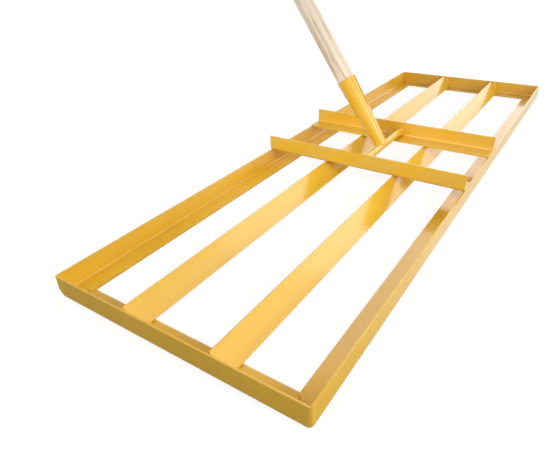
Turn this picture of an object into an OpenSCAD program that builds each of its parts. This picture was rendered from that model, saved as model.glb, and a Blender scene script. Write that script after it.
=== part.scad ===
// Lawn-levelling landscape rake: a welded angle-bar frame with two tilted
// slats, and a wooden handle that swings on a pivot between two braces.
// Millimetres. X runs along the frame, Y across it, Z up from the sole.

/* [Frame] */
// Length of the frame along its long rails
frame_l = 1000; // [600:10:1500]
// Width of the frame across its rails
frame_w = 310; // [260:5:450]
// Height of a rail's upright leg above the sole
rail_h = 26; // [20:0.5:40]
// Width of a rail's flat leg
rail_leg = 26; // [22:0.5:40]
// Sheet thickness of the rails
rail_t = 2.5; // [2:0.1:3.5]
// Inner bend radius of all the angle bars
bend_r = 1.5; // [1:0.1:2.5]
// Radius ground on the frame's four upright corners
corner_r = 4; // [1:0.25:6]

/* [Slats] */
// Tilt of a slat from the ground
slat_tilt = 50; // [35:1:70]
// Thickness of a slat bar
slat_t = 2.5; // [2:0.1:4]
// Distance of a slat's upper edge from the frame's middle line
slat_y = 54; // [45:1:80]

/* [Braces] */
// Distance between the outer faces of the two braces
cradle_w = 162; // [120:1:220]
// Place of the cradle's middle along the frame
cradle_x = -18; // [-60:1:60]
// Height of a brace's upright leg
brace_h = 24; // [20:0.5:40]
// Width of a brace's flat leg
brace_leg = 30; // [20:0.5:40]
// Sheet thickness of the braces
brace_t = 2.5; // [2:0.1:3.5]
// How far a brace's ends stop short of the rails' outer faces
brace_inset = 1; // [0:0.1:1.5]

/* [Pivot] */
// Place of the pivot across the frame
pivot_y = -4; // [-20:1:20]
// Diameter of the pivot rod
rod_d = 9; // [6:0.5:12]
// Radial clearance between the rod and the turning sleeve
pivot_clearance = 0.05; // [0.02:0.01:0.1]
// Wall of the turning sleeve
sleeve_wall = 1.5; // [1:0.1:3]
// Wall of a boss
boss_wall = 2; // [1.2:0.1:4]
// Length of a boss
boss_l = 10; // [5:0.5:20]
// Radial clearance of a boss on the rod
boss_clearance = 0.05; // [0.02:0.01:0.1]
// Gap between a boss and the flat leg below it
boss_lift = 0.1; // [0.05:0.05:1]
// Gap between the sleeve and the flat legs below it
sleeve_lift = 0.5; // [0.4:0.05:2]
// End float of the sleeve at each boss
end_float = 0.5; // [0.3:0.1:2]

/* [Socket] */
// Length of the socket, from the pivot's axis to its mouth
socket_l = 117; // [90:1:180]
// Height of the socket's lower rim above the pivot's axis
socket_start = 3; // [1:0.5:4.5]
// Outer diameter of the socket at its lower rim
socket_d0 = 18.6; // [16:0.2:24]
// Outer diameter of the socket at its mouth
socket_d1 = 29.8; // [25:0.2:36]
// Sheet thickness of the socket
socket_t = 1.5; // [1:0.1:2.5]
// Width of the socket's open seam
seam_w = 2.6; // [1:0.1:5]
// Length of the open seam, down from the mouth
seam_l = 51; // [20:1:80]
// Turn of the seam round the socket, from its upper side
seam_turn = 2; // [-40:1:40]

/* [Handle] */
// Tilt of the handle from upright, towards the left rail
handle_tilt = 35; // [0:1:60]
// Diameter of the wooden pole
handle_d = 27; // [24:0.5:40]
// Length of the pole beyond the socket's mouth
handle_reach = 1400; // [600:10:1800]
// Gap between the pole's taper and the socket
taper_gap = 0.3; // [0.2:0.05:0.5]
// Gap between the pole's tip and the sleeve
tip_gap = 34; // [2:0.5:40]
// Diameter of the pole's tip
tip_d = 10; // [6:0.5:14]
// Depth in the socket at which the pole's whittled point starts
point_down = 28; // [27:0.5:45]
// Length of the shoulder where the pole leaves the socket
shoulder_l = 2.5; // [1:0.5:10]
// Height of the rounded free end
dome_h = 6; // [2:0.5:12]

/* [Screw] */
// Distance of the retaining screw below the socket's mouth
screw_down = 22; // [10:1:40]
// Diameter of the screw's shank
screw_d = 4; // [3:0.1:5]
// Length of the screw's shank below its head
screw_l = 18; // [10:0.5:20]
// Length of the screw's point
screw_point = 4; // [2:0.5:6]
// Diameter of the screw's head
screw_head_d = 8; // [6:0.5:10]
// Height of the screw's head
screw_head_h = 2.6; // [1.5:0.1:4]
// Width of the slot in the screw's head
slot_w = 1.2; // [0.8:0.1:2]
// Depth of the slot in the screw's head
slot_depth = 1.1; // [0.5:0.1:1.4]
// Radial clearance of the screw in the socket
screw_clearance = 0.2; // [0.1:0.05:0.5]
// Radial clearance of the screw in the wood
pilot_clearance = 0.05; // [0.02:0.01:0.2]

/* [Welds] */
// Radius of the beads along the mitre seams
corner_bead_r = 2.6; // [1:0.1:3]
// Length of the beads along the mitre seams
corner_bead_l = 18; // [8:0.5:20]
// Start of a mitre bead, out from the inner corner
corner_bead_start = 1; // [0.5:0.5:4]
// Leg of the fillet beads at the slats' ends
slat_bead = 3.5; // [2:0.1:5]
// Bare length of a slat below its bead
slat_bead_bare = 6; // [4:0.5:9]
// Bare length of a slat above its bead
slat_bead_top = 3.5; // [3.5:0.5:9]
// Leg of the fillet beads under the braces
brace_bead = 3.5; // [2:0.1:5]
// Length of the fillet beads under the braces
brace_bead_l = 20; // [8:0.5:22]
// Lip of the weld rings round the bosses
boss_bead = 1.4; // [0.5:0.1:3]
// Bulge of the socket's weld ring outside the sheet
socket_bead = 1; // [0.5:0.1:2]
// Bite of the socket's weld ring into the sleeve's side
socket_bead_bite = 1; // [0.5:0.1:2]

/* [Hidden] */
$fn = 96;
reach_past = 1;
paint = "#e3ab26";
wood = "#dcc8a6";
steel = "#b9bcc0";

// A slat spans from the end rails' flat legs up to the braces' undersides
slat_rise = rail_h - rail_t;
slat_w = (slat_rise - slat_t * cos(slat_tilt)) / sin(slat_tilt);
slat_run = slat_w * cos(slat_tilt) - slat_t * sin(slat_tilt);
slat_len = frame_l - 2 * (rail_t + bend_r);
end_face = frame_l / 2 - rail_t;

brace_len = frame_w - 2 * brace_inset;
brace_near_x = cradle_x - cradle_w / 2;
leg_top = rail_h + brace_t;
brace_flat_start = brace_t + bend_r;
brace_bead_x = (brace_flat_start + brace_leg - brace_bead_l) / 2;
inner_half = cradle_w / 2 - brace_t;

rod_r = rod_d / 2;
sleeve_r = rod_r + pivot_clearance + sleeve_wall;
boss_r = rod_r + boss_clearance + boss_wall;
pivot_z = leg_top + max(boss_r + boss_lift, sleeve_r + sleeve_lift, rod_r + bend_r + boss_lift);
boss_end = inner_half - bend_r;
sleeve_half = boss_end - boss_l - end_float;

socket_slope = (socket_d1 - socket_d0) / 2 / (socket_l - socket_start);
socket_angle = atan(socket_slope);
function socket_r(s) = socket_d0 / 2 + socket_slope * (s - socket_start);
function taper_r(s) = socket_r(s) - socket_t - taper_gap;
tip_s = sleeve_r + tip_gap;
point_s = socket_l - point_down;
handle_r = handle_d / 2;
handle_end = socket_l + handle_reach;
dome_r = (handle_r * handle_r + dome_h * dome_h) / (2 * dome_h);
screw_s = socket_l - screw_down;
screw_head_r = screw_head_d / 2;
screw_dome_r = (screw_head_r * screw_head_r + screw_head_h * screw_head_h) / (2 * screw_head_h);
ring_in = sleeve_r - socket_bead_bite;
ring_out = socket_d0 / 2 + socket_bead;

// Section of a bent angle bar: heel at the origin, one leg up, one leg across
module angle_section(up, across, wall) {
  heel = wall + bend_r;
  translate([0, heel]) square([wall, up - heel]);
  translate([heel, 0]) square([across - heel, wall]);
  translate([heel, heel]) intersection() {
    difference() {
      circle(heel);
      circle(bend_r);
    }
    translate([-heel, -heel]) square(heel);
  }
}

// Plan of the frame with its ground corners
module ground_plan(length, width) {
  square([length - 2 * corner_r, width], center = true);
  square([length, width - 2 * corner_r], center = true);
  for (sx = [-1, 1], sy = [-1, 1])
    translate([sx * (length / 2 - corner_r), sy * (width / 2 - corner_r)]) circle(corner_r);
}

// Rail along X with its outer face at y = half_span and mitred ends
module mitred_rail(run, half_span) {
  intersection() {
    translate([-run / 2, half_span, 0])
      rotate([90, 0, 90])
        linear_extrude(run) mirror([1, 0]) angle_section(rail_h, rail_leg, rail_t);
    linear_extrude(rail_h)
      polygon([
        [-run / 2, half_span],
        [run / 2, half_span],
        [run / 2 - rail_leg, half_span - rail_leg],
        [-run / 2 + rail_leg, half_span - rail_leg]
      ]);
    linear_extrude(rail_h) ground_plan(run, 2 * half_span);
  }
}

// Places its children at a slat's lower edge, with Y up the slope and Z out of its upper face
module on_slat(upper_y) {
  translate([0, upper_y - slat_run, rail_t]) rotate([slat_tilt, 0, 0]) children();
}

module slat(upper_y) {
  on_slat(upper_y) translate([-slat_len / 2, 0, 0]) cube([slat_len, slat_w, slat_t]);
}

// Brace on the near side of the cradle, its flat leg towards the pivot
module brace() {
  translate([brace_near_x, brace_len / 2, rail_h])
    rotate([90, 0, 0]) linear_extrude(brace_len) angle_section(brace_h, brace_leg, brace_t);
}

// The same piece on the other side of the cradle
module across_cradle() {
  translate([2 * cradle_x, 0, 0]) mirror([1, 0, 0]) children();
}

// Places its children on the pivot's axis, with Z along the frame from the cradle's middle
module on_pivot() {
  translate([cradle_x, pivot_y, pivot_z]) rotate([0, 90, 0]) children();
}

// Places its children on the handle's axis, with Z up the pole from the pivot
module on_handle() {
  translate([cradle_x, pivot_y, pivot_z]) rotate([-handle_tilt, 0, 0]) children();
}

// Places its children on the socket's underside, with Z straight out of the sheet
module on_screw() {
  translate([0, socket_r(screw_s), screw_s]) rotate([-90 - socket_angle, 0, 0]) children();
}

// Round bead on a flat face, running along X from its rounded end
module seam_bead() {
  intersection() {
    union() {
      translate([corner_bead_r, 0, 0])
        rotate([0, 90, 0]) cylinder(h = corner_bead_l - 2 * corner_bead_r, r = corner_bead_r);
      for (x = [corner_bead_r, corner_bead_l - corner_bead_r])
        translate([x, 0, 0]) sphere(corner_bead_r);
    }
    translate([0, -corner_bead_r, 0]) cube([corner_bead_l, 2 * corner_bead_r, corner_bead_r]);
  }
}

// Fillet along X in the corner between a rail's inner face and the underside of a brace
module rail_fillet() {
  translate([brace_near_x + brace_bead_x, frame_w / 2 - rail_t, rail_h])
    rotate([90, 0, 90])
      linear_extrude(brace_bead_l) polygon([[0, 0], [-brace_bead, 0], [0, -brace_bead]]);
}

// Fillet along X in the corner between a slat's upper face and the underside of a brace
module slat_fillet(upper_y) {
  translate([brace_near_x + brace_bead_x, upper_y, rail_h])
    rotate([90, 0, 90])
      linear_extrude(brace_bead_l)
        polygon([
          [0, 0],
          [-brace_bead, 0],
          [-brace_bead * cos(slat_tilt), -brace_bead * sin(slat_tilt)]
        ]);
}

// Weld ring that closes the root gap between a boss and its brace
module boss_ring() {
  difference() {
    on_pivot() rotate_extrude()
      polygon([
        [rod_r + boss_clearance, -inner_half],
        [boss_r + boss_bead, -inner_half],
        [boss_r, boss_bead - boss_end],
        [boss_r, -boss_end],
        [rod_r + boss_clearance, -boss_end]
      ]);
    translate([brace_near_x, pivot_y - 2 * boss_r, rail_h])
      cube([brace_leg, 4 * boss_r, brace_t + bend_r]);
  }
}

module boss() {
  on_pivot() translate([0, 0, -boss_end]) difference() {
    cylinder(h = boss_l, r = boss_r);
    translate([0, 0, -reach_past]) cylinder(h = boss_l + 2 * reach_past, r = rod_r + boss_clearance);
  }
}

module left_rail() { color(paint) mitred_rail(frame_l, frame_w / 2); }

module right_rail() { color(paint) rotate([0, 0, 180]) mitred_rail(frame_l, frame_w / 2); }

module near_end_rail() { color(paint) rotate([0, 0, 90]) mitred_rail(frame_w, frame_l / 2); }

module far_end_rail() { color(paint) rotate([0, 0, -90]) mitred_rail(frame_w, frame_l / 2); }

module left_slat() { color(paint) slat(slat_y); }

module right_slat() { color(paint) slat(-slat_y); }

module near_brace() { color(paint) brace(); }

module far_brace() { color(paint) across_cradle() brace(); }

module pivot_rod() {
  color(steel) on_pivot() cylinder(h = 2 * inner_half, r = rod_r, center = true);
}

module near_boss() { color(paint) boss(); }

module far_boss() { color(paint) across_cradle() boss(); }

module pivot_sleeve() {
  color(paint) on_pivot() difference() {
    cylinder(h = 2 * sleeve_half, r = sleeve_r, center = true);
    cylinder(h = 2 * sleeve_half + 2 * reach_past, r = rod_r + pivot_clearance, center = true);
  }
}

// Rolled-sheet cone, saddle-cut to the sleeve, with its seam left open at the mouth
module handle_socket() {
  low = socket_start - reach_past;
  high = socket_l + reach_past;
  color(paint) on_handle() difference() {
    translate([0, 0, socket_start])
      cylinder(h = socket_l - socket_start, r1 = socket_r(socket_start), r2 = socket_r(socket_l));
    translate([0, 0, low])
      cylinder(h = high - low, r1 = socket_r(low) - socket_t, r2 = socket_r(high) - socket_t);
    rotate([0, 90, 0]) cylinder(h = 2 * socket_d1, r = sleeve_r, center = true);
    rotate([0, 0, seam_turn]) {
      translate([-seam_w / 2, -socket_d1, socket_l - seam_l]) cube([seam_w, socket_d1, seam_l + reach_past]);
      translate([0, 0, socket_l - seam_l]) rotate([90, 0, 0]) cylinder(h = socket_d1, d = seam_w);
    }
    on_screw() cylinder(h = 4 * socket_t, d = screw_d + 2 * screw_clearance, center = true);
  }
}

// Turned pole: whittled point and taper in the socket, shoulder, long shaft and rounded end
module wood_handle() {
  color(wood) on_handle() difference() {
    union() {
      translate([0, 0, tip_s]) cylinder(h = point_s - tip_s, r1 = tip_d / 2, r2 = taper_r(point_s));
      translate([0, 0, point_s])
        cylinder(h = socket_l - point_s, r1 = taper_r(point_s), r2 = taper_r(socket_l));
      translate([0, 0, socket_l]) cylinder(h = shoulder_l, r1 = taper_r(socket_l), r2 = handle_r);
      translate([0, 0, socket_l + shoulder_l])
        cylinder(h = handle_reach - shoulder_l - dome_h, r = handle_r);
      translate([0, 0, handle_end - dome_h]) intersection() {
        cylinder(h = dome_h, r = handle_r);
        translate([0, 0, dome_h - dome_r]) sphere(dome_r);
      }
    }
    on_screw() translate([0, 0, -screw_l - screw_point])
      cylinder(h = screw_l + screw_point + reach_past, r = screw_d / 2 + pilot_clearance);
  }
}

// Slotted round-head screw with a pointed shank
module handle_screw() {
  color(steel) on_handle() on_screw() {
    difference() {
      intersection() {
        cylinder(h = screw_head_h, d = screw_head_d);
        translate([0, 0, screw_head_h - screw_dome_r]) sphere(screw_dome_r);
      }
      translate([-screw_head_d / 2, -slot_w / 2, screw_head_h - slot_depth])
        cube([screw_head_d, slot_w, slot_depth + reach_past]);
    }
    translate([0, 0, screw_point - screw_l]) cylinder(h = screw_l - screw_point, d = screw_d);
    translate([0, 0, -screw_l]) cylinder(h = screw_point, d1 = 0, d2 = screw_d);
  }
}

module corner_welds() {
  color(paint)
    for (sx = [-1, 1], sy = [-1, 1])
      translate([sx * (frame_l / 2 - rail_leg), sy * (frame_w / 2 - rail_leg), rail_t])
        rotate([0, 0, atan2(sy, sx)]) translate([corner_bead_start, 0, 0]) seam_bead();
}

// Fillet across a slat's upper face where it ends at an end rail
module slat_welds() {
  bead_w = slat_w - slat_bead_bare - slat_bead_top;
  color(paint)
    for (side = [-1, 1], upper_y = [-slat_y, slat_y])
      on_slat(upper_y) translate([side * end_face, slat_bead_bare, slat_t])
        mirror([side > 0 ? 1 : 0, 0, 0])
          translate([0, bead_w, 0]) rotate([90, 0, 0])
            linear_extrude(bead_w) polygon([[0, 0], [bend_r + slat_bead, 0], [0, slat_bead]]);
}

module brace_welds() {
  color(paint) {
    rail_fillet();
    mirror([0, 1, 0]) rail_fillet();
    across_cradle() rail_fillet();
    across_cradle() mirror([0, 1, 0]) rail_fillet();
    for (upper_y = [-slat_y, slat_y]) {
      slat_fillet(upper_y);
      across_cradle() slat_fillet(upper_y);
    }
  }
}

module boss_welds() {
  color(paint) {
    boss_ring();
    across_cradle() boss_ring();
  }
}

// Bead between the socket's lower rim and the sleeve
module socket_weld() {
  color(paint) on_handle() difference() {
    translate([0, 0, socket_start]) rotate_extrude()
      translate([(ring_in + ring_out) / 2, 0]) circle((ring_out - ring_in) / 2);
    translate([0, 0, socket_start])
      cylinder(h = ring_out, r1 = socket_r(socket_start), r2 = socket_r(socket_start + ring_out));
    rotate([0, 90, 0]) cylinder(h = 4 * ring_out, r = sleeve_r, center = true);
  }
}

left_rail();
right_rail();
near_end_rail();
far_end_rail();
left_slat();
right_slat();
near_brace();
far_brace();
pivot_rod();
near_boss();
far_boss();
pivot_sleeve();
handle_socket();
wood_handle();
handle_screw();
corner_welds();
slat_welds();
brace_welds();
boss_welds();
socket_weld();
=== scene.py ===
import math
import random

import bmesh
import bpy
from mathutils import Matrix, Vector


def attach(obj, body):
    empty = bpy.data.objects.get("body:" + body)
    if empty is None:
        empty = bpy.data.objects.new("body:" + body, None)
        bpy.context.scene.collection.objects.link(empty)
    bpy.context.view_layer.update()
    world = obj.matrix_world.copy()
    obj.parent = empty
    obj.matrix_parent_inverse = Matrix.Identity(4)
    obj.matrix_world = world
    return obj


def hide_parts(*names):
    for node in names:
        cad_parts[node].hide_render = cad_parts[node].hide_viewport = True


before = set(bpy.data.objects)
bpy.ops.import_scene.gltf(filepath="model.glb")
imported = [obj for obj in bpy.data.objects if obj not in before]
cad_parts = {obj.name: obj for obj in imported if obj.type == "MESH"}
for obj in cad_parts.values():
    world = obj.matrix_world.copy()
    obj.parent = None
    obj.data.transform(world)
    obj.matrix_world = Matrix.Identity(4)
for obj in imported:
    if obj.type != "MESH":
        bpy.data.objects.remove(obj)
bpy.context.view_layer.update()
scene = bpy.context.scene
scene.view_settings.view_transform = "Standard"
print("frame loaded:", len(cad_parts), "nodes")


# Camera, set from the edges of the frame in the photograph
photoCamera = {
    "place": (-0.69841, -0.26716, 0.31694),
    "right": (0.555846, -0.830638, -0.032687),
    "up": (0.445127, 0.264192, 0.855614),
    "back": (-0.702073, -0.490133, 0.516595),
    "focalPixels": 476.1,
    "imageWidth": 550,
    "sensorWidth": 36,
    "nearClip": 0.01,
}


def placeCamera(setup):
    data = bpy.data.cameras.new("photoCamera")
    data.sensor_width = setup["sensorWidth"]
    data.lens = setup["sensorWidth"] * setup["focalPixels"] / setup["imageWidth"]
    data.clip_start = setup["nearClip"]
    camera = bpy.data.objects.new("photoCamera", data)
    scene.collection.objects.link(camera)
    turn = Matrix((setup["right"], setup["up"], setup["back"])).transposed()
    camera.matrix_world = Matrix.Translation(setup["place"]) @ turn.to_4x4()
    scene.camera = camera


placeCamera(photoCamera)
print("camera placed")


# Small tools shared by the pieces
tolerances = {"samePlace": 1e-5, "cut": 1e-6, "merge": 1e-6, "flatAngle": 0.01, "facing": 0.9}
softening = {"steps": 2, "edgeAngle": 50, "shadeAngle": 40}


def leaveEditing():
    if bpy.context.object and bpy.context.object.mode != "OBJECT":
        bpy.ops.object.mode_set(mode="OBJECT")
    bpy.ops.object.select_all(action="DESELECT")


def takeUp(piece):
    leaveEditing()
    piece.select_set(True)
    bpy.context.view_layer.objects.active = piece


def startEditing(piece):
    takeUp(piece)
    bpy.ops.object.mode_set(mode="EDIT")
    bpy.ops.mesh.select_all(action="SELECT")


def pick(piece, kind, test):
    # chooses faces or edges by their place, while in edit mode
    modes = {"faces": "FACE", "edges": "EDGE"}
    bpy.ops.mesh.select_mode(type=modes[kind])
    bpy.ops.mesh.select_all(action="DESELECT")
    mesh = bmesh.from_edit_mesh(piece.data)
    for item in getattr(mesh, kind):
        if test(item):
            item.select_set(True)
    mesh.select_flush_mode()
    bmesh.update_edit_mesh(piece.data)


def lies(edge, axis, value):
    return all(abs(point.co[axis] - value) < tolerances["samePlace"] for point in edge.verts)


def addBlock(name, low, high):
    leaveEditing()
    low = Vector(low)
    high = Vector(high)
    bpy.ops.mesh.primitive_cube_add(size=1, location=(low + high) / 2)
    piece = bpy.context.object
    piece.name = name
    piece.scale = high - low
    bpy.ops.object.transform_apply(location=True, rotation=True, scale=True)
    return piece


def copyPiece(piece, name):
    takeUp(piece)
    bpy.ops.object.duplicate(linked=False)
    twin = bpy.context.object
    twin.name = name
    return twin


def joinPieces(pieces, name):
    leaveEditing()
    for piece in pieces:
        piece.select_set(True)
    bpy.context.view_layer.objects.active = pieces[0]
    bpy.ops.object.join()
    whole = bpy.context.object
    whole.name = name
    return whole


def settle(piece, place=(0, 0, 0), turn=(0, 0, 0)):
    # moves a piece to its place and puts that place in its mesh
    takeUp(piece)
    piece.rotation_euler = turn
    piece.location = place
    bpy.ops.object.transform_apply(location=True, rotation=True, scale=True)
    return piece


def cutAway(place, normal):
    # takes off what lies in front of a plane, while in edit mode
    bpy.ops.mesh.select_all(action="SELECT")
    bpy.ops.mesh.bisect(plane_co=place, plane_no=normal, use_fill=True, clear_outer=True,
                        threshold=tolerances["cut"])  # the usual one doubles small faces


def useModifier(piece, kind, name, **settings):
    takeUp(piece)
    modifier = piece.modifiers.new(name, kind)
    for key, value in settings.items():
        setattr(modifier, key, value)
    bpy.ops.object.modifier_apply(modifier=name)


def roundEdges(piece, width):
    useModifier(piece, "BEVEL", "softEdges", width=width, segments=softening["steps"],
                limit_method="ANGLE", angle_limit=math.radians(softening["edgeAngle"]))


def shadeSmooth(piece):
    takeUp(piece)
    bpy.ops.object.shade_smooth_by_angle(angle=math.radians(softening["shadeAngle"]))


def smoothFaces(piece):
    shadeSmooth(piece)
    useModifier(piece, "WEIGHTED_NORMAL", "flatFaces", keep_sharp=True)


def softenEdges(piece, width):
    roundEdges(piece, width)
    smoothFaces(piece)


def seat(piece, body, node, material):
    piece.data.materials.clear()
    piece.data.materials.append(material)
    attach(piece, body)
    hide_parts(node)


# Node helpers for the finishes
noiseSpan = (0.3, 0.7)  # most of a noise pattern lies between these


def newMaterial(name):
    material = bpy.data.materials.new(name)
    material.use_nodes = True
    nodes = material.node_tree.nodes
    return material, nodes, material.node_tree.links, nodes["Principled BSDF"]


def feed(links, value, socket):
    # joins a node's output to a socket, or sets a plain value there
    if hasattr(value, "is_output"):
        links.new(value, socket)
    else:
        socket.default_value = value


def noiseNode(nodes, links, vector, scale, detail=3, roughness=0.5):
    noise = nodes.new("ShaderNodeTexNoise")
    noise.inputs["Scale"].default_value = scale
    noise.inputs["Detail"].default_value = detail
    noise.inputs["Roughness"].default_value = roughness
    links.new(vector, noise.inputs["Vector"])
    return noise.outputs["Fac"]


def rampNode(nodes, links, source, stops):
    ramp = nodes.new("ShaderNodeValToRGB")
    points = ramp.color_ramp.elements
    while len(points) < len(stops):
        points.new(0.5)
    for point, (place, colour) in zip(points, stops):
        point.position = place
        point.color = (*colour, 1)
    links.new(source, ramp.inputs["Fac"])
    return ramp.outputs["Color"]


def mixNode(nodes, links, factor, first, second, blend="MIX"):
    mix = nodes.new("ShaderNodeMix")
    mix.data_type = "RGBA"
    mix.blend_type = blend
    feed(links, factor, mix.inputs["Factor"])
    feed(links, first, mix.inputs[6])  # 6 and 7 are the two colours
    feed(links, second, mix.inputs[7])
    return mix.outputs[2]


def spanNode(nodes, links, source, low, high, toLow, toHigh):
    span = nodes.new("ShaderNodeMapRange")
    for key, value in (("From Min", low), ("From Max", high), ("To Min", toLow), ("To Max", toHigh)):
        span.inputs[key].default_value = value
    links.new(source, span.inputs["Value"])
    return span.outputs["Result"]


def largerNode(nodes, links, first, second):
    larger = nodes.new("ShaderNodeMath")
    larger.operation = "MAXIMUM"
    links.new(first, larger.inputs[0])
    links.new(second, larger.inputs[1])
    return larger.outputs[0]


def bumpNode(nodes, links, height, strength, distance, normal=None):
    bump = nodes.new("ShaderNodeBump")
    bump.inputs["Strength"].default_value = strength
    bump.inputs["Distance"].default_value = distance
    links.new(height, bump.inputs["Height"])
    if normal:
        links.new(normal, bump.inputs["Normal"])
    return bump.outputs["Normal"]


# Yellow enamel over the steel bars; a bump is its strength and its height
yellowEnamel = {
    "body": (0.785, 0.46, 0.034),
    "light": (0.83, 0.495, 0.042),
    "driftScale": 11,
    "edge": (0.62, 0.335, 0.018),
    "edgeReach": 0.0011,
    "edgeSamples": 6,
    "edgeTurn": (0.995, 0.86),
    "edgeShare": 0.65,
    "grime": (0.42, 0.235, 0.03),
    "speckScale": 260,
    "speckLevels": (0.7, 0.8),
    "speckShare": 0.35,
    "roughScale": 34,
    "roughness": (0.11, 0.19),
    "waveScale": 26,
    "waveBump": (0.008, 0.004),
    "peelScale": 420,
    "peelBump": (0.012, 0.0003),
    "refraction": 1.5,
}


def mixEnamel(setup):
    material, nodes, links, shader = newMaterial("yellowEnamel")
    place = nodes.new("ShaderNodeTexCoord").outputs["Object"]
    drift = noiseNode(nodes, links, place, setup["driftScale"])
    colour = rampNode(nodes, links, drift, list(zip(noiseSpan, (setup["body"], setup["light"]))))

    # paint draws thin on the sharp edges
    bevel = nodes.new("ShaderNodeBevel")
    bevel.samples = setup["edgeSamples"]
    bevel.inputs["Radius"].default_value = setup["edgeReach"]
    geometry = nodes.new("ShaderNodeNewGeometry")
    dot = nodes.new("ShaderNodeVectorMath")
    dot.operation = "DOT_PRODUCT"
    links.new(bevel.outputs["Normal"], dot.inputs[0])
    links.new(geometry.outputs["Normal"], dot.inputs[1])
    thin = spanNode(nodes, links, dot.outputs["Value"], *setup["edgeTurn"], 0, setup["edgeShare"])
    colour = mixNode(nodes, links, thin, colour, (*setup["edge"], 1))

    # specks and handling marks
    speck = noiseNode(nodes, links, place, setup["speckScale"], detail=5, roughness=0.7)
    grime = spanNode(nodes, links, speck, *setup["speckLevels"], 0, setup["speckShare"])
    colour = mixNode(nodes, links, grime, colour, (*setup["grime"], 1))
    links.new(colour, shader.inputs["Base Color"])

    rough = noiseNode(nodes, links, place, setup["roughScale"], detail=4, roughness=0.6)
    links.new(spanNode(nodes, links, rough, *noiseSpan, *setup["roughness"]), shader.inputs["Roughness"])
    wave = noiseNode(nodes, links, place, setup["waveScale"], detail=2)
    peel = noiseNode(nodes, links, place, setup["peelScale"], detail=2)
    normal = bumpNode(nodes, links, wave, *setup["waveBump"])
    links.new(bumpNode(nodes, links, peel, *setup["peelBump"], normal), shader.inputs["Normal"])
    shader.inputs["IOR"].default_value = setup["refraction"]
    return material


# Pole wood: pale, turned and left unpainted
poleWood = {
    "pale": (0.855, 0.76, 0.605),
    "warm": (0.745, 0.605, 0.455),
    "cream": (0.88, 0.83, 0.715),
    "streak": (0.54, 0.40, 0.275),
    "growthStops": ((0.32, "warm"), (0.44, "pale"), (0.475, "streak"), (0.51, "pale"), (0.68, "cream")),
    "growth": {"stretch": 0.03, "shift": 0, "scale": 150, "detail": 3, "roughness": 0.5},
    "broad": {"stretch": 0.12, "shift": 3.1, "scale": 45, "detail": 2, "roughness": 0.5},
    "broadTones": ((0.86, 0.8, 0.74), (1.06, 1.04, 1.02)),
    "pores": {"stretch": 0.018, "shift": 7.7, "scale": 1500, "detail": 2, "roughness": 0.4},
    "pore": (0.46, 0.31, 0.19),
    "poreLevels": (0.63, 0.74),
    "poreShare": 0.6,
    "poreBump": (0.12, -0.0003),
    "fibre": {"stretch": 0.02, "shift": 1.3, "scale": 900, "detail": 3, "roughness": 0.6},
    "fibreBump": (0.15, 0.0004),
    "roughness": (0.62, 0.46),
    "shine": 0.25,
}
pivot = Vector((-0.018, -0.004, 0.03515))
leanAngle = math.radians(35)
poleTurn = Matrix.Rotation(-leanAngle, 4, "X")


def mixWood(setup):
    material, nodes, links, shader = newMaterial("poleWood")
    place = nodes.new("ShaderNodeTexCoord").outputs["Object"]
    upright = nodes.new("ShaderNodeMapping")  # turns the grain to run along the pole
    upright.inputs["Rotation"].default_value = (leanAngle, 0, 0)
    upright.inputs["Location"].default_value = -(poleTurn.inverted() @ pivot)
    links.new(place, upright.inputs["Vector"])

    def grain(layer):
        drawn = nodes.new("ShaderNodeMapping")
        drawn.inputs["Scale"].default_value = (1, 1, layer["stretch"])
        drawn.inputs["Location"].default_value = (layer["shift"], layer["shift"], layer["shift"])
        links.new(upright.outputs["Vector"], drawn.inputs["Vector"])
        return noiseNode(nodes, links, drawn.outputs["Vector"], layer["scale"], layer["detail"],
                         layer["roughness"])

    growth = grain(setup["growth"])
    colour = rampNode(nodes, links, growth, [(level, setup[tone]) for level, tone in setup["growthStops"]])
    broad = grain(setup["broad"])
    tone = rampNode(nodes, links, broad, list(zip(noiseSpan, setup["broadTones"])))
    colour = mixNode(nodes, links, 1.0, colour, tone, "MULTIPLY")
    pores = grain(setup["pores"])
    pore = spanNode(nodes, links, pores, *setup["poreLevels"], 0, setup["poreShare"])
    colour = mixNode(nodes, links, pore, colour, (*setup["pore"], 1))
    links.new(colour, shader.inputs["Base Color"])
    links.new(spanNode(nodes, links, growth, *noiseSpan, *setup["roughness"]), shader.inputs["Roughness"])
    fibre = grain(setup["fibre"])
    normal = bumpNode(nodes, links, fibre, *setup["fibreBump"])
    links.new(bumpNode(nodes, links, pores, *setup["poreBump"], normal), shader.inputs["Normal"])
    shader.inputs["Specular IOR Level"].default_value = setup["shine"]
    return material


# Bright steel of the screw and the rod
brightSteel = {
    "dull": (0.36, 0.35, 0.33),
    "colour": (0.56, 0.56, 0.55),
    "cloudScale": 140,
    "cloudLevels": (0.3, 0.6),
    "roughness": (0.45, 0.25),
    "scratchScale": 1400,
    "scratchBump": (0.1, 0.0002),
}


def mixSteel(setup):
    material, nodes, links, shader = newMaterial("brightSteel")
    place = nodes.new("ShaderNodeTexCoord").outputs["Object"]
    cloud = noiseNode(nodes, links, place, setup["cloudScale"], detail=4, roughness=0.6)
    stops = list(zip(setup["cloudLevels"], (setup["dull"], setup["colour"])))
    links.new(rampNode(nodes, links, cloud, stops), shader.inputs["Base Color"])
    links.new(spanNode(nodes, links, cloud, *noiseSpan, *setup["roughness"]), shader.inputs["Roughness"])
    shader.inputs["Metallic"].default_value = 1
    scratch = noiseNode(nodes, links, place, setup["scratchScale"], detail=2)
    links.new(bumpNode(nodes, links, scratch, *setup["scratchBump"]), shader.inputs["Normal"])
    return material


enamel = mixEnamel(yellowEnamel)
wood = mixWood(poleWood)
steel = mixSteel(brightSteel)
print("finishes mixed")


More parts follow.
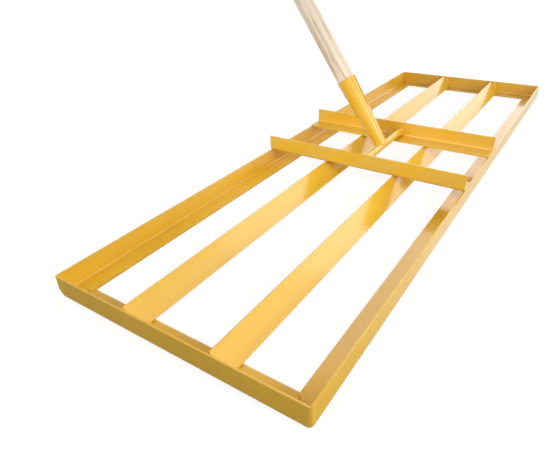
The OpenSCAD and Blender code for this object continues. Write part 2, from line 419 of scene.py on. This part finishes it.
# Angle bars: the flat leg first, then the upright leg drawn up from its outer strip
frameBars = {
    "length": 1.0, "width": 0.31, "height": 0.026, "leg": 0.026, "sheet": 0.0025, "bend": 0.0015,
    "rounding": 0.0009, "softEdge": 0.00045,
    "groundCorner": 0.004, "cornerFlats": 4,
    "roundFoot": 0.0075, "smallFoot": 0.005, "footTurns": (20, 36, 54, 70), "footDips": (18, 36, 54, 72),
}
foldSteps = {"heel": 8, "root": 7}


def foldAngle(name, run, outer, base, height, leg, sheet, bend):
    piece = addBlock(name, (-run / 2, outer - leg, base), (run / 2, outer, base + sheet))
    startEditing(piece)
    bpy.ops.mesh.bisect(plane_co=(0, outer - sheet, base), plane_no=(0, 1, 0))

    def outerStrip(face):
        return face.normal.z > tolerances["facing"] and face.calc_center_median().y > outer - sheet

    pick(piece, "faces", outerStrip)
    bpy.ops.mesh.extrude_region_move(TRANSFORM_OT_translate={"value": (0, 0, height - sheet)})
    bpy.ops.mesh.select_all(action="SELECT")
    bpy.ops.mesh.dissolve_limited(angle_limit=tolerances["flatAngle"])
    pick(piece, "edges", lambda edge: lies(edge, 1, outer) and lies(edge, 2, base))
    bpy.ops.mesh.bevel(offset=sheet + bend, segments=foldSteps["heel"], affect="EDGES")
    pick(piece, "edges", lambda edge: lies(edge, 1, outer - sheet) and lies(edge, 2, base + sheet))
    bpy.ops.mesh.bevel(offset=bend, segments=foldSteps["root"], affect="EDGES")
    return piece


def groundNormal(side, turn, dip=0):
    # which way a ground flat faces, by its turn and its dip in degrees
    level = math.cos(math.radians(dip))
    along = side * level * math.cos(math.radians(turn))
    return Vector((along, level * math.sin(math.radians(turn)), -math.sin(math.radians(dip))))


def mitreRail(name, run, outer, bars, roundSide):
    bend = bars["bend"] + bars["rounding"]  # paint fills the root and softens the heel
    piece = foldAngle(name, run, outer, 0, bars["height"], bars["leg"], bars["sheet"], bend)
    roundEdges(piece, bars["softEdge"])  # before the mitres, which close tight
    startEditing(piece)
    radius = bars["groundCorner"]
    for side in (-1, 1):
        foot = bars["roundFoot"] if side == roundSide else bars["smallFoot"]
        cutAway((side * run / 2, outer, 0), (side, -1, 0))
        cornerMiddle = Vector((side * (run / 2 - radius), outer - radius, 0))
        footMiddle = Vector((side * (run / 2 - foot), outer - foot, foot))
        for step in range(1, bars["cornerFlats"] + 1):  # the corner ground round, up to the mitre
            normal = groundNormal(side, 90 - 45 / bars["cornerFlats"] * step)
            cutAway(cornerMiddle + radius * normal, normal)
        for turn in bars["footTurns"]:  # the foot of the corner is ground to a ball
            for dip in bars["footDips"]:
                normal = groundNormal(side, turn, dip)
                cutAway(footMiddle + foot * normal, normal)
    smoothFaces(piece)
    return piece


longRail = mitreRail("leftRail", frameBars["length"], frameBars["width"] / 2, frameBars, -1)
endRail = mitreRail("farEndRail", frameBars["width"], frameBars["length"] / 2, frameBars, 1)
settle(endRail, turn=(0, 0, -math.pi / 2))
otherLong = settle(copyPiece(longRail, "rightRail"), turn=(0, 0, math.pi))
otherEnd = settle(copyPiece(endRail, "nearEndRail"), turn=(0, 0, math.pi))
for piece, node in ((longRail, "left_rail"), (otherLong, "right_rail"), (otherEnd, "near_end_rail"),
                    (endRail, "far_end_rail")):
    seat(piece, "frame", node, enamel)
print("rails folded and mitred")


# Slats: flat bars on a tilt, from the end rails' flat legs to the height of the rails' tops
slatBars = {"tilt": math.radians(50), "thick": 0.0025, "upperEdge": 0.054, "softEdge": 0.0005, "stations": 12}
slatRise = frameBars["height"] - frameBars["sheet"] - slatBars["thick"] * math.cos(slatBars["tilt"])
slatWidth = slatRise / math.sin(slatBars["tilt"])
slatRun = slatWidth * math.cos(slatBars["tilt"]) - slatBars["thick"] * math.sin(slatBars["tilt"])
slatHalf = frameBars["length"] / 2 - frameBars["sheet"] - frameBars["bend"]
slatEdges = (slatBars["upperEdge"], -slatBars["upperEdge"])

slat = addBlock("leftSlat", (-slatHalf, 0, 0), (slatHalf, slatWidth, slatBars["thick"]))
startEditing(slat)
for share in range(1, slatBars["stations"]):  # stations keep the faces of the long bar short
    station = -slatHalf + share * slatHalf / (slatBars["stations"] / 2)
    bpy.ops.mesh.select_all(action="SELECT")
    bpy.ops.mesh.bisect(plane_co=(station, 0, 0), plane_no=(1, 0, 0))
softenEdges(slat, slatBars["softEdge"])
otherSlat = copyPiece(slat, "rightSlat")
for piece, upper, node in zip((slat, otherSlat), slatEdges, ("left_slat", "right_slat")):
    settle(piece, (0, upper - slatRun, frameBars["sheet"]), (slatBars["tilt"], 0, 0))
    seat(piece, "frame", node, enamel)
print("slats laid in")


# Braces: shorter angle bars across the top, flat legs facing each other
braceBars = {"middle": -0.018, "span": 0.162, "length": 0.308, "height": 0.024, "leg": 0.03, "sheet": 0.0025,
             "bend": 0.0015, "rounding": 0.0012, "softEdge": 0.00045}


def layBrace(bars):
    bend = bars["bend"] + bars["rounding"]
    piece = foldAngle("farBrace", bars["length"], bars["span"] / 2, frameBars["height"], bars["height"],
                      bars["leg"], bars["sheet"], bend)
    softenEdges(piece, bars["softEdge"])
    return settle(piece, (bars["middle"], 0, 0), (0, 0, -math.pi / 2))


farBrace = layBrace(braceBars)
nearBrace = settle(copyPiece(farBrace, "nearBrace"), (2 * braceBars["middle"], 0, 0), (0, 0, math.pi))
seat(farBrace, "frame", "far_brace", enamel)
seat(nearBrace, "frame", "near_brace", enamel)
print("braces laid across")


# Pivot: a sleeve that turns on the rod, and a boss at each brace
pivotParts = {"rodRadius": 0.0045, "gap": 0.00005, "sleeveWall": 0.0015, "bossWall": 0.002,
              "bossLength": 0.01, "endFloat": 0.0005, "sleeveSoft": 0.0004, "bossSoft": 0.0006, "sides": 72}
braceFace = braceBars["span"] / 2 - braceBars["sheet"]
bossEnd = braceFace - braceBars["bend"]
sleeveHalf = bossEnd - pivotParts["bossLength"] - pivotParts["endFloat"]
boreRadius = pivotParts["rodRadius"] + pivotParts["gap"]
sleeveRadius = boreRadius + pivotParts["sleeveWall"]


def turnTube(name, low, high, wall, soft):
    # a tube on the pivot's axis, from low to high along the frame
    leaveEditing()
    bpy.ops.mesh.primitive_cylinder_add(vertices=pivotParts["sides"], radius=boreRadius + wall,
                                        depth=high - low, end_fill_type="NOTHING")
    piece = bpy.context.object
    piece.name = name
    useModifier(piece, "SOLIDIFY", "tubeWall", thickness=wall, offset=-1)
    softenEdges(piece, soft)
    return settle(piece, pivot + Vector(((low + high) / 2, 0, 0)), (0, math.pi / 2, 0))


sleeve = turnTube("pivotSleeve", -sleeveHalf, sleeveHalf, pivotParts["sleeveWall"], pivotParts["sleeveSoft"])
seat(sleeve, "handle", "pivot_sleeve", enamel)
for name, node, side in (("nearBoss", "near_boss", -1), ("farBoss", "far_boss", 1)):
    ends = sorted((side * bossEnd, side * (bossEnd - pivotParts["bossLength"])))
    boss = turnTube(name, ends[0], ends[1], pivotParts["bossWall"], pivotParts["bossSoft"])
    seat(boss, "frame", node, enamel)
print("pivot turned")


# Socket: a rolled-sheet cone, saddle-cut to the sleeve, with its seam open at the mouth
socketCone = {
    "start": 0.003, "mouth": 0.117, "lowRadius": 0.0093, "mouthRadius": 0.0149, "sheet": 0.0015,
    "sides": 144, "softEdge": 0.0003,
    "seamLength": 0.051, "seamTurn": 2, "seamReach": 6.3,
    "seamTip": 0.0007, "seamTipReach": 3, "ringAbove": 0.025,
    "cutterSides": 96, "cutterLength": 0.08,
}


def rollSocket(cone):
    leaveEditing()
    depth = cone["mouth"] - cone["start"]
    bpy.ops.mesh.primitive_cone_add(vertices=cone["sides"], radius1=cone["lowRadius"],
                                    radius2=cone["mouthRadius"], depth=depth, end_fill_type="NOTHING",
                                    location=(0, 0, cone["start"] + depth / 2))
    piece = bpy.context.object
    piece.name = "handleSocket"
    bpy.ops.object.transform_apply(location=True, rotation=True, scale=True)
    startEditing(piece)
    slitEnd = cone["mouth"] - cone["seamLength"]
    slitTip = slitEnd - cone["seamTip"]
    for height in (slitTip, slitEnd, slitEnd + cone["ringAbove"]):
        bpy.ops.mesh.select_all(action="SELECT")
        bpy.ops.mesh.bisect(plane_co=(0, 0, height), plane_no=(0, 0, 1))
    middle = math.radians(cone["seamTurn"] - 90)

    def inSlit(face, reach, floor):
        spot = face.calc_center_median()
        away = (math.atan2(spot.y, spot.x) - middle + math.pi) % (2 * math.pi) - math.pi
        return abs(away) < math.radians(reach) and spot.z > floor

    def cutOut(face):
        return inSlit(face, cone["seamReach"], slitEnd) or inSlit(face, cone["seamTipReach"], slitTip)

    pick(piece, "faces", cutOut)
    bpy.ops.mesh.delete(type="FACE")
    useModifier(piece, "SOLIDIFY", "rolledSheet", thickness=cone["sheet"], offset=-1, use_even_offset=True)
    leaveEditing()
    bpy.ops.mesh.primitive_cylinder_add(vertices=cone["cutterSides"], radius=sleeveRadius,
                                        depth=cone["cutterLength"], rotation=(0, math.pi / 2, 0))
    cutter = bpy.context.object
    useModifier(piece, "BOOLEAN", "saddleCut", operation="DIFFERENCE", object=cutter, solver="EXACT")
    bpy.data.objects.remove(cutter)
    softenEdges(piece, cone["softEdge"])
    return settle(piece, pivot, (-leanAngle, 0, 0))


socket = rollSocket(socketCone)
seat(socket, "handle", "handle_socket", enamel)
print("socket rolled")


# Pole: a turned taper in the socket, a small shoulder, the shaft and a rounded end
polePlan = {
    "tip": 0.04005, "tipRadius": 0.005, "tipSoft": 0.001, "pointDown": 0.028, "gap": 0.0003,
    "shoulder": 0.0025, "shoulderSoft": (0.0001, 0.0008),
    "radius": 0.0135, "reach": 1.4, "spans": 8,
    "dome": 0.006, "domeFoot": 0.0001, "domeSteps": 8, "sides": 72, "seed": 0.001,
}


def taperRadius(height):
    depth = socketCone["mouth"] - socketCone["start"]
    slope = (socketCone["mouthRadius"] - socketCone["lowRadius"]) / depth
    outside = socketCone["lowRadius"] + slope * (height - socketCone["start"])
    return outside - socketCone["sheet"] - polePlan["gap"]


def poleOutline(plan):
    # radius and height, from the tip's middle to the top's middle
    mouth = socketCone["mouth"]
    top = mouth + plan["reach"]
    pointTop = mouth - plan["pointDown"]
    softIn, softDown = plan["shoulderSoft"]
    outline = [(0, plan["tip"]),
               (plan["tipRadius"] - plan["tipSoft"], plan["tip"]),
               (plan["tipRadius"], plan["tip"] + plan["tipSoft"]),
               (taperRadius(pointTop), pointTop),
               (taperRadius(mouth), mouth),
               (plan["radius"] - softIn, mouth + plan["shoulder"] - softDown),
               (plan["radius"], mouth + plan["shoulder"])]
    for share in range(1, plan["spans"]):
        outline.append((plan["radius"], mouth + plan["reach"] * share / plan["spans"]))
    outline.append((plan["radius"], top - plan["dome"] - plan["domeFoot"]))
    capRadius = (plan["radius"] ** 2 + plan["dome"] ** 2) / (2 * plan["dome"])
    for step in range(plan["domeSteps"] - 1, -1, -1):  # rounded end, a shallow round cap
        away = plan["radius"] * step / plan["domeSteps"]
        outline.append((away, top - capRadius + math.sqrt(capRadius ** 2 - away ** 2)))
    return outline


def turnPole(plan):
    outline = poleOutline(plan)
    leaveEditing()
    bpy.ops.mesh.primitive_plane_add(size=plan["seed"])  # shrunk to the point that draws the outline
    piece = bpy.context.object
    piece.name = "woodHandle"
    bpy.ops.object.mode_set(mode="EDIT")
    bpy.ops.mesh.select_mode(type="VERT")
    bpy.ops.mesh.select_all(action="SELECT")
    bpy.ops.mesh.merge(type="CENTER")
    bpy.ops.transform.translate(value=(outline[0][0], 0, outline[0][1]))
    for (radius, height), (nextRadius, nextHeight) in zip(outline, outline[1:]):
        step = (nextRadius - radius, 0, nextHeight - height)
        bpy.ops.mesh.extrude_region_move(TRANSFORM_OT_translate={"value": step})
    bpy.ops.mesh.select_all(action="SELECT")
    bpy.ops.mesh.spin(steps=plan["sides"], angle=2 * math.pi, center=(0, 0, 0), axis=(0, 0, 1))
    bpy.ops.mesh.select_all(action="SELECT")
    bpy.ops.mesh.remove_doubles(threshold=tolerances["merge"])
    bpy.ops.mesh.normals_make_consistent(inside=False)
    shadeSmooth(piece)
    return settle(piece, pivot, (-leanAngle, 0, 0))


pole = turnPole(polePlan)
seat(pole, "handle", "wood_handle", wood)
print("pole turned")


# Weld beads: overlapping drops fused into one rippled bead, then painted over
weldBeads = {
    "pitch": 0.0021, "voxel": 0.00032, "width": 0.0054, "height": 0.0025,
    "dropSides": 16, "dropRings": 8, "dropLength": 1.3,
    "swell": (0.82, 1.12), "ringSwell": (0.9, 1.1), "stray": 0.0004, "lean": -18, "twist": 0.25,
    "flow": 0.5, "flowRounds": 3, "sink": 0.0012,
}


def meltDrops(name, drops):
    # each drop is a place, a turn and three half sizes
    made = []
    for place, turn, sizes in drops:
        leaveEditing()
        bpy.ops.mesh.primitive_uv_sphere_add(segments=weldBeads["dropSides"],
                                             ring_count=weldBeads["dropRings"], radius=1, location=place)
        drop = bpy.context.object
        drop.rotation_euler = turn
        drop.scale = sizes
        made.append(drop)
    piece = joinPieces(made, name)
    bpy.ops.object.transform_apply(location=True, rotation=True, scale=True)
    useModifier(piece, "REMESH", "fused", mode="VOXEL", voxel_size=weldBeads["voxel"], use_smooth_shade=True)
    useModifier(piece, "SMOOTH", "flowed", factor=weldBeads["flow"], iterations=weldBeads["flowRounds"])
    return piece


def straightBead(name, length, width, height, seed):
    chance = random.Random(seed)
    twist = weldBeads["twist"]
    drops = []
    count = int(length / weldBeads["pitch"])
    for index in range(count):
        along = width / 2 + (length - width) * index / (count - 1)
        swell = chance.uniform(*weldBeads["swell"])
        place = (along, chance.uniform(-1, 1) * weldBeads["stray"], 0)
        turn = (0, math.radians(weldBeads["lean"]), chance.uniform(-twist, twist))
        sizes = (weldBeads["pitch"] * weldBeads["dropLength"], swell * width / 2, swell * height)
        drops.append((place, turn, sizes))
    piece = meltDrops(name, drops)
    startEditing(piece)
    cutAway((0, 0, -weldBeads["sink"]), (0, 0, -1))  # the back that sinks into the bar
    leaveEditing()
    return piece


def setBead(bead, name, place, along, outward):
    # a copy of a bead, running along one direction and standing out in another
    twin = copyPiece(bead, name)
    forward = Vector(along).normalized()
    out = Vector(outward).normalized()
    side = out.cross(forward)
    turn = Matrix((forward, side, out)).transposed()
    twin.matrix_world = Matrix.Translation(place) @ turn.to_4x4()
    takeUp(twin)
    bpy.ops.object.transform_apply(location=True, rotation=True, scale=True)
    return twin


# mitre seams, on the flat legs at the inner corners
cornerSeams = {"length": 0.018, "width": 0.0056, "height": 0.0027, "inset": 0.001, "seed": 3}
cornerBead = straightBead("cornerBead", cornerSeams["length"], cornerSeams["width"], cornerSeams["height"],
                          cornerSeams["seed"])
inner = Vector((frameBars["length"] / 2 - frameBars["leg"], frameBars["width"] / 2 - frameBars["leg"], 0))
beads = []
for sideX in (-1, 1):
    for sideY in (-1, 1):
        heading = Vector((sideX, sideY, 0)).normalized()
        corner = Vector((sideX * inner.x, sideY * inner.y, frameBars["sheet"]))
        start = corner + cornerSeams["inset"] * heading
        beads.append(setBead(cornerBead, "cornerWelds", start, heading, (0, 0, 1)))
seat(joinPieces(beads, "cornerWelds"), "frame", "corner_welds", enamel)
bpy.data.objects.remove(cornerBead)

# slat ends, across the slats' upper faces
slatSeams = {"trim": 0.0095, "start": 0.006, "lift": 0.0006, "endGap": 0.0008, "seed": 5}
slope = Vector((0, math.cos(slatBars["tilt"]), math.sin(slatBars["tilt"])))
faceOut = Vector((0, -math.sin(slatBars["tilt"]), math.cos(slatBars["tilt"])))
slatBead = straightBead("slatBead", slatWidth - slatSeams["trim"], weldBeads["width"], weldBeads["height"],
                        slatSeams["seed"])
seamEnd = frameBars["length"] / 2 - frameBars["sheet"] - slatSeams["endGap"]
beads = []
for side in (-1, 1):
    for upper in slatEdges:
        lower = Vector((side * seamEnd, upper - slatRun, frameBars["sheet"]))
        start = lower + slope * slatSeams["start"] + faceOut * (slatBars["thick"] + slatSeams["lift"])
        beads.append(setBead(slatBead, "slatWelds", start, slope, faceOut - Vector((side, 0, 0))))
seat(joinPieces(beads, "slatWelds"), "frame", "slat_welds", enamel)
bpy.data.objects.remove(slatBead)

# under the braces, at the rails and at the slats
braceSeams = {"length": 0.02, "widthShare": 0.9, "heightShare": 0.85, "inset": 0.017, "railGap": 0.0006,
              "slatBack": 0.0016, "slatDown": 0.0008, "slatLean": (0, 0.6, 1.6), "seed": 7}
braceBead = straightBead("braceBead", braceSeams["length"], weldBeads["width"] * braceSeams["widthShare"],
                         weldBeads["height"] * braceSeams["heightShare"], braceSeams["seed"])
railFace = frameBars["width"] / 2 - frameBars["sheet"] - braceSeams["railGap"]
beads = []
for side in (-1, 1):
    beadMiddle = braceBars["middle"] + side * (braceBars["span"] / 2 - braceSeams["inset"])
    startX = beadMiddle - braceSeams["length"] / 2
    for across in (-1, 1):
        start = Vector((startX, across * railFace, frameBars["height"] - braceSeams["railGap"]))
        beads.append(setBead(braceBead, "braceWelds", start, (1, 0, 0), (0, -across, -1)))
    for upper in slatEdges:
        start = Vector((startX, upper - braceSeams["slatBack"], frameBars["height"] - braceSeams["slatDown"]))
        outward = faceOut - Vector(braceSeams["slatLean"])
        beads.append(setBead(braceBead, "braceWelds", start, (1, 0, 0), outward))
seat(joinPieces(beads, "braceWelds"), "frame", "brace_welds", enamel)
bpy.data.objects.remove(braceBead)

# boss rings, round the bosses on the braces' inner faces, open underneath
bossSeams = {"drops": 19, "firstTurn": -42, "sweep": 264, "standOff": 0.0004, "faceGap": 0.001,
             "dropSize": (0.0011, 0.0009, 0.0017), "seed": 11,
             "tackSteps": (0.0022, 0.0042, 0.006), "tackPlace": (-0.0052, -0.0046),
             "tackSize": (0.0015, 0.0013, 0.0015)}


def bossRing(side, seam):
    chance = random.Random(seam["seed"] + side)
    radius = boreRadius + pivotParts["bossWall"] + seam["standOff"]
    thick, wide, tall = seam["dropSize"]
    drops = []
    for index in range(seam["drops"]):
        angle = math.radians(seam["firstTurn"] + seam["sweep"] * index / (seam["drops"] - 1))
        away = side * (braceFace - seam["faceGap"])
        spot = Vector((away, radius * math.cos(angle), radius * math.sin(angle)))
        swell = chance.uniform(*weldBeads["ringSwell"])
        drops.append((pivot + spot, (angle, 0, 0), (thick * swell, wide * swell, tall)))
    for along in seam["tackSteps"]:  # a tack along the foot of the boss
        spot = Vector((side * (braceFace - along), *seam["tackPlace"]))
        drops.append((pivot + spot, (0, 0, 0), seam["tackSize"]))
    return meltDrops("bossWelds", drops)


rings = [bossRing(-1, bossSeams), bossRing(1, bossSeams)]
seat(joinPieces(rings, "bossWelds"), "frame", "boss_welds", enamel)

# socket ring, round the lower rim and over the sleeve's crown
socketSeam = {"drops": 34, "inset": 0.0004, "rimSink": 0.0004, "crownSink": 0.0003,
              "dropSize": (0.0015, 0.0019, 0.0016), "seed": 23}


def socketRing(seam):
    chance = random.Random(seam["seed"])
    radius = socketCone["lowRadius"] - seam["inset"]
    thick, wide, tall = seam["dropSize"]
    drops = []
    for index in range(seam["drops"]):
        angle = 2 * math.pi * index / seam["drops"]
        aside = radius * math.sin(angle)
        crown = math.sqrt(max(0, sleeveRadius ** 2 - aside ** 2))
        height = max(socketCone["start"] - seam["rimSink"], crown - seam["crownSink"])
        swell = chance.uniform(*weldBeads["ringSwell"])
        place = (radius * math.cos(angle), aside, height)
        drops.append((place, (0, 0, angle), (thick * swell, wide, tall * swell)))
    piece = meltDrops("socketWeld", drops)
    return settle(piece, pivot, (-leanAngle, 0, 0))


seat(socketRing(socketSeam), "handle", "socket_weld", enamel)
print("welds laid")


# Rod and screw keep their own shapes and get a bright finish
for node in ("pivot_rod", "handle_screw"):
    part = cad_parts[node]
    part.data.materials.clear()
    part.data.materials.append(steel)
print("rod and screw finished")


# Studio: a white floor that keeps the shadow, and soft lamps all round
studio = {
    "floorSize": 60, "floorDrop": 0.0004, "skyStrength": 0.05, "bounce": 0.6,
    "shade": 0.3, "glow": [(0.5, 0.8), (1.5, 0.96), (4, 1)], "glowReach": 5,
    # in reflections the floor glows: painted shade in front of the near end, painted light further on
    "mirrorShade": 0.2, "mirrorPaintedShadeAndLight": (0.1, 0.7), "mirrorPaintedShadeSpan": (-0.45, -0.2),
}
lampPlan = {
    "leftSoftbox": {"place": (-1.3, 0.35, 0.9), "size": (0.8, 0.8), "watts": 7.2},
    "sideSoftbox": {"place": (-0.35, -1.4, 0.52), "size": (0.8, 0.8), "watts": 12.6},
    "closeSoftbox": {"place": (-0.45, -0.3, 0.6), "size": (0.5, 0.5), "watts": 0.7},
    "topSoftbox": {"place": (0.3, -0.1, 1.6), "size": (1.2, 1.2), "watts": 1},
    "backSoftbox": {"place": (2.65, -0.8, 1.03), "size": (3.4, 1.5), "watts": 28},
    "rightSoftbox": {"place": (1.2, -2.2, 0.9), "size": (2.4, 1.2), "watts": 10},
    "highBackSoftbox": {"place": (2.0, 0.55, 2.0), "size": (2.6, 1.2), "watts": 18.5},
    "highRightSoftbox": {"place": (1.3, -1.9, 1.9), "size": (2.2, 1.0), "watts": 5},
    "rearSoftbox": {"place": (-0.2, 2.4, 0.45), "size": (2.4, 0.8), "watts": 18},
    "griddedSoftbox": {"place": (-0.49, 0.1, 0.33), "size": (0.4, 0.2), "watts": 0.14,
                       "aim": (0.03, 0.04, 0), "spread": 54},
}


def layFloor(setup):
    leaveEditing()
    bpy.ops.mesh.primitive_plane_add(size=setup["floorSize"], location=(0, 0, -setup["floorDrop"]))
    floor = bpy.context.object
    floor.name = "studioFloor"
    material, nodes, links, shader = newMaterial("studioFloor")
    nodes.remove(shader)
    path = nodes.new("ShaderNodeLightPath")
    place = nodes.new("ShaderNodeTexCoord").outputs["Object"]

    def paleShade(shade, glow):
        # a pale matt floor with a little light of its own
        matt = nodes.new("ShaderNodeBsdfDiffuse")
        matt.inputs["Color"].default_value = (shade, shade, shade, 1)
        own = nodes.new("ShaderNodeEmission")
        feed(links, glow, own.inputs["Strength"])
        both = nodes.new("ShaderNodeAddShader")
        links.new(matt.outputs[0], both.inputs[0])
        links.new(own.outputs[0], both.inputs[1])
        return both.outputs[0]

    def choose(test, no, yes):
        mix = nodes.new("ShaderNodeMixShader")
        links.new(test, mix.inputs["Fac"])
        links.new(no, mix.inputs[1])
        links.new(yes, mix.inputs[2])
        return mix.outputs[0]

    distance = nodes.new("ShaderNodeVectorMath")  # whiter away from the part
    distance.operation = "LENGTH"
    links.new(place, distance.inputs[0])
    reach = setup["glowReach"]
    share = spanNode(nodes, links, distance.outputs["Value"], 0, reach, 0, 1)
    stops = [(far / reach, (level, level, level)) for far, level in setup["glow"]]
    glow = rampNode(nodes, links, share, stops)
    # painted shade and painted light in reflections: the floor glows for glossy rays, dimly in front of the
    # near end and brighter beyond it
    across = nodes.new("ShaderNodeSeparateXYZ")  # reflections see it darker in front of the near end
    links.new(place, across.inputs[0])
    mirrorPaintedShadeAndLight = spanNode(nodes, links, across.outputs["X"], *setup["mirrorPaintedShadeSpan"], *setup["mirrorPaintedShadeAndLight"])
    mirrored = largerNode(nodes, links, path.outputs["Is Glossy Ray"], path.outputs["Is Transmission Ray"])
    surface = choose(mirrored, paleShade(setup["bounce"], 0), paleShade(setup["mirrorShade"], mirrorPaintedShadeAndLight))
    surface = choose(path.outputs["Is Camera Ray"], surface, paleShade(setup["shade"], glow))
    links.new(surface, nodes["Material Output"].inputs["Surface"])
    floor.data.materials.append(material)


def lightSky(setup):
    world = bpy.data.worlds.new("studioSky")
    world.use_nodes = True
    scene.world = world
    nodes = world.node_tree.nodes
    links = world.node_tree.links
    path = nodes.new("ShaderNodeLightPath")
    either = largerNode(nodes, links, path.outputs["Is Camera Ray"], path.outputs["Is Glossy Ray"])
    seen = largerNode(nodes, links, either, path.outputs["Is Transmission Ray"])
    strength = spanNode(nodes, links, seen, 0, 1, setup["skyStrength"], 1)  # white where it is seen
    links.new(strength, nodes["Background"].inputs["Strength"])
    nodes["Background"].inputs["Color"].default_value = (1, 1, 1, 1)


def hangLamp(name, setup):
    data = bpy.data.lights.new(name, "AREA")
    data.shape = "RECTANGLE"
    data.size, data.size_y = setup["size"]
    data.energy = setup["watts"]
    data.spread = math.radians(setup.get("spread", 180))
    lamp = bpy.data.objects.new(name, data)
    scene.collection.objects.link(lamp)
    lamp.location = setup["place"]
    lamp.visible_camera = False
    aim = Vector(setup.get("aim", (0, 0, 0))) - Vector(setup["place"])  # most look at the frame's middle
    lamp.rotation_euler = aim.to_track_quat("-Z", "Y").to_euler()


layFloor(studio)
lightSky(studio)
for name, setup in lampPlan.items():
    hangLamp(name, setup)
print("studio lit")
